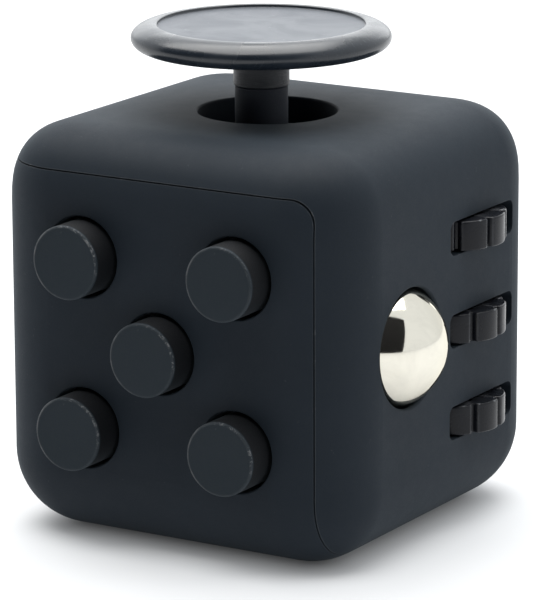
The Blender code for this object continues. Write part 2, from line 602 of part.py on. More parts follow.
combine(bracket, rod("bracket_bore", AXLE_R + GAP, -20.0, 20.0, (GEAR_X, GEAR_Y, GEAR_MID_Z), "+Z", cutter=True, segments=20))
screws("gear_bracket_screw", 3.5, [(BRACKET_POST_X - 2 * GAP - 1.1, by, bz) for by, bz in BRACKET_SCREW], "-X")

# ----------------------------------------------------------------------------
# spin face: a dial on a hub held from inside by a washer and a screw
# ----------------------------------------------------------------------------
DIAL_BASE_X = -HALF + DIAL_RECESS - GAP
dial_profile = [(0.0, 3.6), (1.1, 3.5), (1.9, 3.1), (2.4, 2.4), (2.8, 1.5), (3.6, 1.0), (5.2, 0.85), (6.8, 1.15), (7.7, 1.75),
                (8.2, 2.0), (8.65, 1.9), (DIAL_R, 1.5), (DIAL_R, 0.0), (2.0, 0.0), (2.0, -1.6), (0.8, -1.6), (0.8, 0.8), (0.0, 0.8)]
turned("spin_dial", dial_profile, (DIAL_BASE_X, 0, MID_Z), "-X", GLOSS, steps=SEG_FINE)
turned("dial_washer", [(3.4, -1.9), (3.4, -2.5), (SCREW_HOLE_R, -2.5), (SCREW_HOLE_R, -1.9)], (DIAL_BASE_X, 0, MID_Z), "-X", STEEL, steps=24)
screws("dial_screw", 3.2, [(DIAL_BASE_X + 2.8, 0, MID_Z)], "+X")

# ----------------------------------------------------------------------------
# flip face: a rocker on a pin, held over by a leaf spring
# ----------------------------------------------------------------------------
V = math.tan(math.radians(ROCKER_TILT))
L = ROCKER_HALF_L
half_outline = [(L, 3.4 + L * V - 0.35), (L - 0.35, 3.4 + L * V - 0.06), (L * 0.5, 3.4 + L * 0.5 * V), (0.0, 3.4)]
lower_outline = [(-L, 1.0), (-L * 0.75, 0.6), (-2.2, -0.6), (-1.5, -2.0), (-0.7, -3.2), (0.0, -3.4)]
rocker_loop = half_outline[:-1] + [(0.0, 3.4)] + [(-a, b) for a, b in half_outline[:-1][::-1]] + lower_outline + [(-a, b) for a, b in lower_outline[:-1][::-1]]


def tilted(points, degrees):
    a = math.radians(degrees)
    return [(u * math.cos(a) - v * math.sin(a), u * math.sin(a) + v * math.cos(a)) for u, v in points]


# the outline's first axis runs along world Z and its second along world Y, so the piece is drawn in a frame turned onto X
rocker = outline("rocker", [tilted(rocker_loop, ROCKER_TILT), circle(ROCKER_PIN_R + 0.08, 20)], 2 * ROCKER_HALF_W, (0, ROCKER_PIVOT_Y, MID_Z), "+Z", GLOSS)
rocker.matrix_world = Matrix.Translation(mm(0, ROCKER_PIVOT_Y, MID_Z)) @ Matrix(((0, 0, -1, 0), (0, 1, 0, 0), (1, 0, 0, 0), (0, 0, 0, 1)))

rod("rocker_pin", ROCKER_PIN_R, -6.0, 6.0, (0, ROCKER_PIVOT_Y, MID_Z), "+X", STEEL, segments=20)

FR_W = 6.2
FR_L = 8.7
FR_BACK = 7.6
frame = box("rocker_frame", (-FR_W, FR_BACK, MID_Z - FR_L), (FR_W, IN - GAP, MID_Z + FR_L), FRAME)
combine(frame, box("rocker_frame_core", (-5.1, FR_BACK + 0.9, MID_Z - FR_L - 2), (5.1, IN + 2, MID_Z + FR_L + 2), cutter=True))
for s, label in ((1, "top"), (-1, "bottom")):
    z0, z1 = MID_Z + s * (FR_L - 0.9), MID_Z + s * 10.6
    ear = box(f"rocker_frame_ear_{label}", (-5.6, 11.2, min(z0, z1)), (5.6, 12.3, max(z0, z1)), cutter=True)
    combine(frame, ear, "UNION")
for i, rz in enumerate(ROCKER_SCREW_Z):
    combine(frame, rod(f"rocker_frame_hole_{i}", SCREW_HOLE_R, -2.0, 2.0, (0.0, 12.0, rz), "+Y", cutter=True, segments=14))
combine(frame, rod("rocker_frame_bore", ROCKER_PIN_R + GAP, -8.0, 8.0, (0, ROCKER_PIVOT_Y, MID_Z), "+X", cutter=True, segments=20))
screws("rocker_frame_screw", 3.3, [(0.0, 10.9, rz) for rz in ROCKER_SCREW_Z], "-Y")

# a bowed strip; its crest stands under the rocker's nose
crest = [(-6.5, 0.0), (-4.5, 0.0), (-1.6, 0.42), (0.0, 0.46), (1.6, 0.42), (4.5, 0.0), (6.5, 0.0)]
strip = [(u, v) for u, v in crest] + [(u, v - 0.22) for u, v in crest[::-1]]
leaf = outline("rocker_leaf_spring", [strip[::-1]], 3.0, (0, 0, 0), "+Z", SPRING)
leaf.matrix_world = Matrix.Translation(mm(0, FR_BACK + 0.9 + GAP + 0.22, MID_Z)) @ Matrix(((0, 0, -1, 0), (0, 1, 0, 0), (1, 0, 0, 0), (0, 0, 0, 1)))
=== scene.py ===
import json
import math

import bmesh
import bpy
from mathutils import Matrix, Vector


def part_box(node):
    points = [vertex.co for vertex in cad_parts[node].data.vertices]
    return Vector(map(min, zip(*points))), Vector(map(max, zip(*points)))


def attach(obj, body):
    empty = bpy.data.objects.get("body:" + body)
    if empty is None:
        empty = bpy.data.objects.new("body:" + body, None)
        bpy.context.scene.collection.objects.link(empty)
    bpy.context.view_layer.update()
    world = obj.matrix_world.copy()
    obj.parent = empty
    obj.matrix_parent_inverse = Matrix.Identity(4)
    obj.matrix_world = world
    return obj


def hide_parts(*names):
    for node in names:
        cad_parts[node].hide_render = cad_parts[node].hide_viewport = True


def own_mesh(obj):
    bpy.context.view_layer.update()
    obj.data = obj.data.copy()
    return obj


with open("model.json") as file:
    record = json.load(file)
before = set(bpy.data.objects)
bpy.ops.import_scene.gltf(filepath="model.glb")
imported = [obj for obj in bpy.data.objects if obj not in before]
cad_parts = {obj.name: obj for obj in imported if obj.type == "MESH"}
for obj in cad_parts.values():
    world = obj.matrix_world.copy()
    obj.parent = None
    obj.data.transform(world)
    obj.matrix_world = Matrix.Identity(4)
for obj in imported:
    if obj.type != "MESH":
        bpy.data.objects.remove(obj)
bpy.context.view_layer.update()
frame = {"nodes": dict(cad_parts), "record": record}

# ---------------------------------------------------------------------------------------------
# sizes, in millimetres; places are read from the CAD nodes' boxes
# ---------------------------------------------------------------------------------------------
K = 0.001


def nbox(node):
    lo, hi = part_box(node)
    return [c / K for c in lo], [c / K for c in hi]


def ncentre(node):
    lo, hi = nbox(node)
    return [(a + b) / 2 for a, b in zip(lo, hi)]


FLO, _ = nbox("shell_front")
_, RHI = nbox("shell_rear")
HALF = -FLO[0]                    # half the cube's side
TOP = RHI[2]                      # height of the cube
MIDZ = TOP / 2
EDGE_R, TOP_FULL = 6.3, 2.5
SEAM = HALF - 3.0
SEAM_R = 2.0
SEAM_GAP = 0.11
WALL, FLOORT, INNER_R = 2.2, 3.4, 2.5
IN = HALF - WALL
TOP_IN = TOP - WALL

JX, JY, _ = ncentre("joystick_cap")
CAP_R = (nbox("joystick_cap")[1][0] - nbox("joystick_cap")[0][0]) / 2
CAP_TOP = nbox("joystick_cap")[1][2]
BALL = ncentre("roller_ball")
BALL_R = (nbox("roller_ball")[1][2] - nbox("roller_ball")[0][2]) / 2
GEARX, GEARY = 13.15, 5.65
GEAR_R = 4.9
DIAL_LO, _ = nbox("spin_dial")

# ---------------------------------------------------------------------------------------------
# helpers: meshes
# ---------------------------------------------------------------------------------------------
PIECES = bpy.data.collections.new("visual_pieces")
bpy.context.scene.collection.children.link(PIECES)
SCRAP = bpy.data.collections.new("scrap")
bpy.context.scene.collection.children.link(SCRAP)

AXES = {
    "+Z": Matrix.Identity(3), "-Z": Matrix.Rotation(math.pi, 3, "X"),
    "+X": Matrix.Rotation(math.pi / 2, 3, "Y"), "-X": Matrix.Rotation(-math.pi / 2, 3, "Y"),
    "-Y": Matrix.Rotation(math.pi / 2, 3, "X"), "+Y": Matrix.Rotation(-math.pi / 2, 3, "X"),
}


def place(name, bm, at=(0, 0, 0), axis="+Z", coll=None):
    mesh = bpy.data.meshes.new(name)
    bm.to_mesh(mesh)
    bm.free()
    ob = bpy.data.objects.new(name, mesh)
    ob.matrix_world = Matrix.Translation(Vector(at) * K) @ AXES[axis].to_4x4()
    (coll or PIECES).objects.link(ob)
    return ob


def bm_box(lo, hi, r=0.0, seg=4, pick=None, at_centre=False):
    bm = bmesh.new()
    bmesh.ops.create_cube(bm, size=1.0)
    size = Vector([hi[i] - lo[i] for i in range(3)]) * K
    mid = Vector([(hi[i] + lo[i]) / 2 for i in range(3)]) * K
    bmesh.ops.scale(bm, vec=size, verts=bm.verts)
    if r:
        edges = [e for e in bm.edges if pick is None or pick(e)]
        bmesh.ops.bevel(bm, geom=edges, offset=r * K, offset_type="OFFSET", segments=seg, profile=0.5, affect="EDGES")
    if not at_centre:
        bmesh.ops.translate(bm, vec=mid, verts=bm.verts)
    return bm


def along(axis):
    return lambda e: abs((e.verts[0].co - e.verts[1].co).normalized()[axis]) > 0.9


def bm_turn(profile, steps=96, turn=0.0):
    """A profile of (radius, height) points turned about Z; points on the axis become poles."""
    bm = bmesh.new()
    rings = []
    for r, z in profile:
        if r < 1e-6:
            rings.append([bm.verts.new((0, 0, z * K))])
        else:
            rings.append([bm.verts.new((r * K * math.cos(turn + math.tau * i / steps), r * K * math.sin(turn + math.tau * i / steps), z * K)) for i in range(steps)])
    closed = profile[0][0] > 1e-6
    pairs = list(zip(rings, rings[1:] + ([rings[0]] if closed else [])))
    if not closed:
        pairs = pairs[:len(rings) - 1]
    for a, b in pairs:
        for i in range(steps):
            j = (i + 1) % steps
            if len(a) == 1 and len(b) == 1:
                continue
            if len(a) == 1:
                bm.faces.new((a[0], b[i], b[j]))
            elif len(b) == 1:
                bm.faces.new((a[i], b[0], a[j]))
            else:
                bm.faces.new((a[i], b[i], b[j], a[j]))
    bmesh.ops.recalc_face_normals(bm, faces=bm.faces)
    return bm


def arc(cx, cz, r, a0, a1, n):
    return [(cx + r * math.cos(math.radians(a0 + (a1 - a0) * i / n)), cz + r * math.sin(math.radians(a0 + (a1 - a0) * i / n))) for i in range(n + 1)]


def bm_prism(loop, half, holes=(), edge_r=0.0, seg=3):
    """A closed outline made thick about z = 0, with its rim edges rounded, and a round hole through it: only the first
    of holes is cut.
    """
    bm = bmesh.new()
    n = len(loop)
    rows = []
    levels = [(-half, edge_r)] if not edge_r else [(-half + edge_r * (1 - math.cos(math.pi / 2 * k / seg)) * 1.0, edge_r * (1 - math.sin(math.pi / 2 * k / seg))) for k in range(seg + 1)]
    full = levels + [(-z, i) for z, i in levels[::-1]]
    # outward direction at each point
    outs = []
    for i, (x, y) in enumerate(loop):
        x0, y0 = loop[i - 1]
        x1, y1 = loop[(i + 1) % n]
        t = Vector((x1 - x0, y1 - y0)).normalized()
        outs.append((t.y, -t.x))
    for z, inset in full:
        rows.append([bm.verts.new(((x - ox * inset) * K, (y - oy * inset) * K, z * K)) for (x, y), (ox, oy) in zip(loop, outs)])
    for a, b in zip(rows, rows[1:]):
        for i in range(n):
            j = (i + 1) % n
            bm.faces.new((a[i], a[j], b[j], b[i]))
    for row, flip in ((rows[0], True), (rows[-1], False)):
        z = row[0].co.z
        if holes:
            cx, cy, hr, hn = holes[0]
            ring = [bm.verts.new(((cx + hr * math.cos(math.tau * i / hn)) * K, (cy + hr * math.sin(math.tau * i / hn)) * K, z)) for i in range(hn)]
            edges = [bm.edges.new((ring[i], ring[(i + 1) % hn])) for i in range(hn)]
            outer = [bm.edges.get((row[i], row[(i + 1) % n])) for i in range(n)]
            bmesh.ops.triangle_fill(bm, use_beauty=True, edges=edges + outer, normal=(0, 0, -1 if flip else 1))
            if flip:
                low = ring
            else:
                for i in range(hn):
                    j = (i + 1) % hn
                    bm.faces.new((low[j], low[i], ring[i], ring[j]))
        else:
            bm.faces.new(row if not flip else row[::-1])
    bmesh.ops.recalc_face_normals(bm, faces=bm.faces)
    return bm


def boolean(ob, other, how="DIFFERENCE"):
    m = ob.modifiers.new("b", "BOOLEAN")
    m.operation, m.solver, m.object = how, "EXACT", other


def bake(ob, scrap=()):
    """Applies an object's modifiers to a mesh of its own and clears the cutters."""
    bpy.context.view_layer.update()
    graph = bpy.context.evaluated_depsgraph_get()
    mesh = bpy.data.meshes.new_from_object(ob.evaluated_get(graph))
    ob.modifiers.clear()
    old = ob.data
    ob.data = mesh
    mesh.name = ob.name
    bpy.data.meshes.remove(old)
    for s in scrap:
        bpy.data.objects.remove(s, do_unlink=True)
    return ob


def smooth(ob, angle=40, weighted=True):
    ob.data.shade_smooth()
    ob.data.set_sharp_from_angle(angle=math.radians(angle))
    if weighted:
        w = ob.modifiers.new("weighted", "WEIGHTED_NORMAL")
        w.keep_sharp = True
        w.weight = 60


# ---------------------------------------------------------------------------------------------
# helpers: materials
# ---------------------------------------------------------------------------------------------
class Tree:
    """A small wrapper that makes node wiring short."""

    def __init__(self, name):
        self.mat = bpy.data.materials.new(name)
        self.mat.use_nodes = True
        self.nt = self.mat.node_tree
        self.bsdf = self.nt.nodes["Principled BSDF"]
        self.coord = self.nt.nodes.new("ShaderNodeTexCoord").outputs["Object"]

    def node(self, kind, **props):
        n = self.nt.nodes.new(kind)
        for k, v in props.items():
            setattr(n, k, v)
        return n

    def put(self, sock, value):
        if isinstance(value, bpy.types.NodeSocket):
            self.nt.links.new(value, sock)
        else:
            sock.default_value = value

    def noise(self, per_mm, detail=3.0, rough=0.55, vector=None, distortion=0.0, w=None):
        n = self.node("ShaderNodeTexNoise", noise_dimensions="3D" if w is None else "4D")
        if w is not None:
            self.put(n.inputs["W"], w)
        self.put(n.inputs["Vector"], vector or self.coord)
        n.inputs["Scale"].default_value = per_mm * 1000.0
        n.inputs["Detail"].default_value = detail
        n.inputs["Roughness"].default_value = rough
        n.inputs["Distortion"].default_value = distortion
        return n.outputs["Fac"]

    def ramp(self, value, lo, hi, a=0.0, b=1.0, kind="SMOOTHSTEP"):
        n = self.node("ShaderNodeMapRange", interpolation_type=kind)
        self.put(n.inputs["Value"], value)
        for k, v in (("From Min", lo), ("From Max", hi), ("To Min", a), ("To Max", b)):
            n.inputs[k].default_value = v
        return n.outputs["Result"]

    def math(self, op, a, b=0.0, c=0.0):
        n = self.node("ShaderNodeMath", operation=op)
        self.put(n.inputs[0], a)
        self.put(n.inputs[1], b)
        if op in ("MULTIPLY_ADD", "SMOOTH_MIN", "COMPARE"):
            self.put(n.inputs[2], c)
        return n.outputs[0]

    def mix(self, fac, a, b):
        n = self.node("ShaderNodeMix", data_type="RGBA")
        self.put(n.inputs[0], fac)
        self.put(n.inputs[6], a if isinstance(a, bpy.types.NodeSocket) else (*a, 1.0))
        self.put(n.inputs[7], b if isinstance(b, bpy.types.NodeSocket) else (*b, 1.0))
        return n.outputs[2]

    def xyz(self, vector=None):
        n = self.node("ShaderNodeSeparateXYZ")
        self.put(n.inputs[0], vector or self.coord)
        return n.outputs[0], n.outputs[1], n.outputs[2]

    def length2(self, a, b):
        return self.math("SQRT", self.math("ADD", self.math("MULTIPLY", a, a), self.math("MULTIPLY", b, b)))

    def bump(self, height, distance_mm, strength=1.0, normal=None):
        n = self.node("ShaderNodeBump")
        n.inputs["Strength"].default_value = strength
        n.inputs["Distance"].default_value = distance_mm * K
        self.put(n.inputs["Height"], height)
        if normal:
            self.put(n.inputs["Normal"], normal)
        return n.outputs["Normal"]

    def set(self, **kw):
        for k, v in kw.items():
            key = {"colour": "Base Color", "rough": "Roughness", "metal": "Metallic", "spec": "Specular IOR Level", "ior": "IOR",
                   "coat": "Coat Weight", "coat_rough": "Coat Roughness", "sheen": "Sheen Weight", "sheen_rough": "Sheen Roughness",
                   "sheen_tint": "Sheen Tint", "normal": "Normal", "aniso": "Anisotropic"}[k]
            if isinstance(v, tuple) and len(v) == 3 and key in ("Base Color", "Sheen Tint"):
                v = (*v, 1.0)
            self.put(self.bsdf.inputs[key], v)
        return self.mat


def soft_touch(name, colour, lift, rough=0.58, wear_and_painted_light=None, seam=False):
    """Rubberised paint on moulded plastic: matt, very fine grain, faint mottling, a soft sheen and a little dust."""
    t = Tree(name)
    broad = t.noise(0.09, 4.0, 0.6)
    mid = t.noise(0.9, 5.0, 0.6)
    grain = t.noise(9.0, 4.0, 0.7)
    c = t.mix(t.ramp(broad, 0.35, 0.68), colour, tuple(x * 1.10 for x in colour))
    c = t.mix(t.ramp(mid, 0.52, 0.78, 0.0, 0.28), c, lift)
    c = t.mix(t.ramp(t.noise(5.5, 3.0, 0.7), 0.40, 0.70, 0.0, 0.45), c, lift)
    dust = t.ramp(t.noise(3.1, 2.0, 0.4), 0.735, 0.80, 0.0, 0.35)
    c = t.mix(dust, c, (0.05, 0.055, 0.06))
    r = t.math("ADD", t.ramp(mid, 0.3, 0.7, rough - 0.02, rough + 0.02), t.ramp(grain, 0.3, 0.7, -0.04, 0.04))
    # edge wear; on the keys also painted shade on the side wall and a painted highlight on the rim
    if wear_and_painted_light is not None:
        c, r = wear_and_painted_light(t, c, r)
    n1 = t.bump(grain, 0.012, 0.55)
    n2 = t.bump(t.noise(2.6, 3.0, 0.5), 0.012, 0.22, n1)
    t.set(colour=c, rough=r, normal=n2, spec=0.21, sheen=0.042, sheen_rough=0.38, sheen_tint=(0.66, 0.84, 0.97))
    return t.mat


def gloss(name, colour, rough=0.16, scratch=0.25, coat=0.0, extra=None):
    """Moulded glossy plastic: slight orange peel, hairline scratches and finger smudges in the gloss."""
    t = Tree(name)
    peel = t.noise(0.7, 2.0, 0.4)
    smudge = t.noise(0.22, 4.0, 0.6, distortion=0.6)
    m = t.node("ShaderNodeMapping")
    t.put(m.inputs["Vector"], t.coord)
    m.inputs["Scale"].default_value = (1.0, 14.0, 1.0)
    m.inputs["Rotation"].default_value = (0.3, 0.5, 0.7)
    hair = t.ramp(t.noise(1.3, 2.0, 0.6, vector=m.outputs[0]), 0.64, 0.70, 0.0, 1.0)
    c = t.mix(t.ramp(smudge, 0.4, 0.75), colour, tuple(min(1, x * 1.35 + 0.002) for x in colour))
    r = t.math("ADD", t.ramp(smudge, 0.35, 0.7, rough - 0.03, rough + 0.09), t.math("MULTIPLY", hair, 0.12 * scratch * 4))
    n1 = t.bump(peel, 0.010, 0.35)
    n2 = t.bump(hair, 0.004, scratch, n1)
    if extra is not None:
        c, r, n2 = extra(t, c, r, n2)
    t.set(colour=c, rough=r, normal=n2, coat=coat, coat_rough=0.08)
    return t.mat


def metal(name, colour, rough=0.07, brushed=False):
    t = Tree(name)
    smudge = t.noise(0.35, 5.0, 0.6, distortion=0.8)
    fine = t.noise(6.0, 3.0, 0.6)
    m = t.node("ShaderNodeMapping")
    t.put(m.inputs["Vector"], t.coord)
    m.inputs["Scale"].default_value = (1.0, 1.0, 22.0) if brushed else (18.0, 1.0, 1.0)
    lines = t.noise(1.6, 3.0, 0.65, vector=m.outputs[0])
    c = t.mix(t.ramp(smudge, 0.35, 0.75), colour, tuple(x * 0.90 for x in colour))
    r = t.math("ADD", t.ramp(smudge, 0.3, 0.75, rough - 0.02, rough + 0.05), t.ramp(lines, 0.4, 0.8, 0.0, 0.14 if brushed else 0.03))
    n = t.bump(lines if brushed else fine, 0.003, 0.35 if brushed else 0.12)
    t.set(colour=c, rough=r, metal=1.0, normal=n)
    return t.mat


def plain_moulded(name, colour, rough=0.45):
    """Unpainted inner moulding: fine spark-eroded texture and flow mottling."""
    t = Tree(name)
    flow = t.noise(0.15, 4.0, 0.6, distortion=1.2)
    grain = t.noise(5.0, 4.0, 0.65)
    c = t.mix(t.ramp(flow, 0.35, 0.7), colour, tuple(x * 1.3 for x in colour))
    r = t.ramp(grain, 0.3, 0.7, rough - 0.06, rough + 0.08)
    t.set(colour=c, rough=r, normal=t.bump(grain, 0.02, 0.5))
    return t.mat


# ---------------------------------------------------------------------------------------------
# helpers: cutters with a rounded mouth
# ---------------------------------------------------------------------------------------------
def bm_loft(rows):
    """Closed outlines of equal point count at rising heights, skinned and capped."""
    bm = bmesh.new()
    rings = [[bm.verts.new((x * K, y * K, z * K)) for x, y in loop] for loop, z in rows]
    n = len(rings[0])
    for a, b in zip(rings, rings[1:]):
        for i in range(n):
            j = (i + 1) % n
            bm.faces.new((a[i], a[j], b[j], b[i]))
    bm.faces.new(rings[0][::-1])
    bm.faces.new(rings[-1])
    bmesh.ops.recalc_face_normals(bm, faces=bm.faces)
    return bm


def rrect(hw, hl, r, n=6):
    pts = []
    for cx, cy, a0 in ((hw - r, hl - r, 0), (-hw + r, hl - r, 90), (-hw + r, -hl + r, 180), (hw - r, -hl + r, 270)):
        pts += [(cx + r * math.cos(math.radians(a0 + 90 * i / n)), cy + r * math.sin(math.radians(a0 + 90 * i / n))) for i in range(n + 1)]
    return pts


def mouth(e, n=5, lift=0.003):
    """(outset, height) down a rounded mouth of radius e, from the surface to depth e."""
    return [(e - e * math.sin(math.pi / 2 * i / n), -e + e * math.cos(math.pi / 2 * i / n) + lift) for i in range(n + 1)]


def hole(name, r, e, deep, at, axis, steps=96, below=()):
    """A round cutter with a rounded mouth; below is extra (radius, height) points past the straight part."""
    prof = [(0.0, 2.0), (r + e, 2.0)] + [(r + o, z) for o, z in mouth(e)]
    prof += list(below) if below else [(r, -deep)]
    prof += [(0.0, prof[-1][1])]
    return place(name, bm_turn(prof, steps), at, axis, SCRAP)


def slot_cut(name, hw, hl, r, e, deep, at, axis):
    rows = [(rrect(hw, hl, r), -deep)]
    rows += [(rrect(hw + o, hl + o, r + o), z) for o, z in mouth(e)[::-1]]
    rows += [(rrect(hw + e, hl + e, r + e), 2.0)]
    return place(name, bm_loft(rows), at, axis, SCRAP)


# ---------------------------------------------------------------------------------------------
# casing
# ---------------------------------------------------------------------------------------------
SEAM_TOP = TOP - 3.0


def seam_block(name, inset):
    lo = (-HALF - 5, -HALF - 5, -5)
    hi = (SEAM - inset, SEAM - inset, SEAM_TOP - inset)
    bm = bm_box(lo, hi, SEAM_R, 8, pick=lambda e: sum(1 for i in range(3) if all(v.co[i] > 0 for v in e.verts)) == 2, at_centre=True)
    return place(name, bm, [(a + b) / 2 for a, b in zip(lo, hi)], coll=SCRAP)


def block(name, lo, hi, r, seg, coll=SCRAP):
    return place(name, bm_box(lo, hi, r, seg, at_centre=True), [(a + b) / 2 for a, b in zip(lo, hi)], coll=coll)


def casing_block(name, seg=18):
    """The cube's outside; the edges round the top face are a little fuller than a quarter circle."""
    ob = place(name, bm_box((-HALF, -HALF, 0), (HALF, HALF, TOP), EDGE_R, seg))
    z0 = TOP - EDGE_R
    for v in ob.data.vertices:
        t = (v.co.z / K - z0) / EDGE_R
        if 0.0 < t < 1.0:
            c = math.sqrt(1.0 - t * t)
            v.co.z = (z0 + EDGE_R * (1.0 - c ** TOP_FULL) ** (1.0 / TOP_FULL)) * K
    return ob


BUTTONS = {k: ncentre("button_" + k) for k in ("top_left", "top_right", "centre", "bottom_left", "bottom_right")}
GEARS = {k: ncentre("thumb_gear_" + k)[2] for k in ("upper", "middle", "lower")}
HOLE_R = 3.25


def casing_front():
    ob = casing_block("casing_front")
    cuts = [block("c1", (-IN, -IN, FLOORT), (IN + 5, IN + 5, TOP_IN + 5), INNER_R, 5)]
    boolean(ob, cuts[0])
    cuts.append(seam_block("c2", SEAM_GAP / 2))
    boolean(ob, cuts[-1], "INTERSECT")
    for k, (x, y, z) in BUTTONS.items():
        cuts.append(hole("bh_" + k, HOLE_R, 0.16, 5.0, (x, -HALF, z), "-Y", 72))
        boolean(ob, cuts[-1])
    cuts.append(hole("dial_recess", 9.3, 0.3, 1.3, (-HALF, 0, MIDZ), "-X", 120))
    boolean(ob, cuts[-1])
    cuts.append(place("dial_bore", bm_turn([(0, 3), (2.3, 3), (2.3, -4), (0, -4)], 48), (-HALF, 0, MIDZ), "-X", SCRAP))
    boolean(ob, cuts[-1])
    # thumb dish: a shallow hollow in the middle of the underside
    prof = [(11.6 * i / 26, 1.6 * (1 - (11.6 * i / 26 / 10.0) ** 2)) for i in range(27)] + [(11.6, -2.0), (0, -2.0)]
    cuts.append(place("thumb_dish", bm_turn(prof, 112, 0.013), (0, 0, 0), "+Z", SCRAP))
    boolean(ob, cuts[-1])
    for i, (px, pz) in enumerate(((0.0, 8.2), (0.0, -8.2), (-9.2, 0.0))):
        cuts.append(place(f"pp{i}", bm_turn([(0, 3.3), (1.45, 3.3), (1.45, 0), (0, 0)], 32, 0.07), (px, -12.0, MIDZ + pz), "-Y", SCRAP))
        boolean(ob, cuts[-1], "UNION")
        cuts.append(place(f"pd{i}", bm_turn([(0, 1.9), (0.8, 1.9), (0.8, -1), (0, -1)], 24, 0.05), (px, -12.0, MIDZ + pz), "-Y", SCRAP))
        boolean(ob, cuts[-1])
    return bake(ob, cuts)


def casing_rear():
    ob = casing_block("casing_rear")
    cuts = [block("d1", (-IN, -IN, FLOORT), (IN, IN, TOP_IN), INNER_R, 5), seam_block("d2", -SEAM_GAP / 2)]
    boolean(ob, cuts[0])
    boolean(ob, cuts[1])
    li = IN - 0.3
    lip = block("lip", (-li, -li, FLOORT + 0.3), (IN + 0.6, IN + 0.6, TOP_IN + 0.6), INNER_R - 0.3, 3)
    core = block("core", (-li + 0.8, -li + 0.8, FLOORT + 1.1), (IN + 3, IN + 3, TOP_IN + 3), INNER_R - 1.1, 3)
    trim = place("trim", bm_box((-HALF - 2, -HALF - 2, -2), (SEAM - 1.4, SEAM - 1.4, SEAM_TOP - 1.4)), coll=SCRAP)
    keep = block("keep", (-HALF + 0.5, -HALF + 0.5, 0.5), (IN + 0.3, IN + 0.3, TOP_IN + 0.3), INNER_R, 3)
    boolean(lip, core)
    boolean(lip, trim)
    boolean(lip, keep, "INTERSECT")
    bake(lip, [core, trim, keep])
    cuts.append(lip)
    boolean(ob, lip, "UNION")
    cuts.append(hole("glide", 5.6, 0.2, 4.0, (0, 0, TOP), "+Z", 128))
    boolean(ob, cuts[-1])
    cuts.append(hole("ballhole", 4.8, 0.22, 0, (HALF, BALL[1], BALL[2]), "+X", 120, below=[(4.8, -0.3), (5.4, -1.3), (5.4, -5.0)]))
    boolean(ob, cuts[-1])
    for k, z in GEARS.items():
        cuts.append(slot_cut("slot_" + k, 1.37, 5.15, 0.65, 0.06, 4.5, (HALF, GEARY, z + 0.04), "+X"))
        boolean(ob, cuts[-1])
    cuts.append(slot_cut("rocker_hole", 5.0, 8.0, 1.0, 0.28, 4.5, (0, HALF, MIDZ), "+Y"))
    boolean(ob, cuts[-1])

    def post(i, at, axis, length, radius):
        cuts.append(place(f"rp{i}", bm_turn([(0, length + 0.6), (radius, length + 0.6), (radius, 0), (0, 0)], 32, 0.07), at, axis, SCRAP))
        boolean(ob, cuts[-1], "UNION")
        cuts.append(place(f"rd{i}", bm_turn([(0, length + 0.4), (0.8, length + 0.4), (0.8, -1), (0, -1)], 24, 0.05), at, axis, SCRAP))
        boolean(ob, cuts[-1])

    n = 0
    for sx, sy in ((-1, -1), (1, -1), (1, 1), (-1, 1)):
        post(n, (sx * 11.5, sy * 11.5, 28.6), "+Z", TOP_IN - 28.6, 1.35)
        n += 1
    for s in (1, -1):
        post(n, (12.6, BALL[1], BALL[2] + s * 8.3), "+X", IN - 12.6, 1.45)
        post(n + 1, (12.0, 12.2, GEARS["middle"] + s * 3.765), "+X", IN - 12.0, 1.35)
        post(n + 2, (0.0, 12.6, MIDZ + s * 9.6), "+Y", IN - 12.6, 1.3)
        n += 3
    return bake(ob, cuts)


front = casing_front()
rear = casing_rear()

# ---------------------------------------------------------------------------------------------
# push buttons
# ---------------------------------------------------------------------------------------------
BUTTON_FRONT = -nbox("button_centre")[0][1] - HALF      # how far the face stands out


def button(name, at):
    r, top = 2.95, BUTTON_FRONT
    prof = [(0.0, top - 0.035), (1.2, top - 0.02), (2.0, top - 0.008), (2.6, top - 0.002)]
    prof += arc(r - 0.17, top - 0.17, 0.17, 84, 0, 6)
    prof += [(r, -0.6), (r, -1.6), (r, -2.5), (3.72, -2.5), (3.8, -2.58), (3.8, -3.12), (3.72, -3.2), (1.2, -3.2), (1.2, -3.6), (0.0, -3.6)]
    return place(name, bm_turn(prof, 96), (at[0], -HALF, at[2]), "-Y")


keys = {k: button("key_" + k, at) for k, at in BUTTONS.items()}

# the snap domes and pads behind the keys, as rigid pieces; on the real cube they flatten as a key goes in
SEAT_Y = nbox("click_dome_centre")[1][1]                # the side that rests on the plate
snaps = {}
for k, (x, y, z) in BUTTONS.items():
    if "click_dome_" + k in frame["nodes"]:
        under = [(1.98, 0.015), (1.5, 0.20), (1.0, 0.34), (0.5, 0.40), (0.0, 0.42)]
        over = [(0.0, 0.598), (0.55, 0.592), (0.9, 0.565), (1.1, 0.535), (1.5, 0.36), (1.9, 0.16), (2.12, 0.04), (2.17, 0.012), (2.16, 0.002), (2.0, 0.002)]
        node, prof = "click_dome_" + k, over + under
    else:
        node = "silent_pad_" + k
        prof = [(0.0, 0.598), (1.08, 0.598), (1.16, 0.58), (1.2, 0.54), (1.46, 0.28), (1.56, 0.235), (2.1, 0.198), (2.17, 0.16), (2.18, 0.03), (2.15, 0.003), (1.0, 0.003), (0.94, 0.05), (0.82, 0.27), (0.74, 0.3), (0.0, 0.3)]
    snaps[node] = place("snap_" + k, bm_turn(prof, 56), (x, SEAT_Y, z), "-Y")

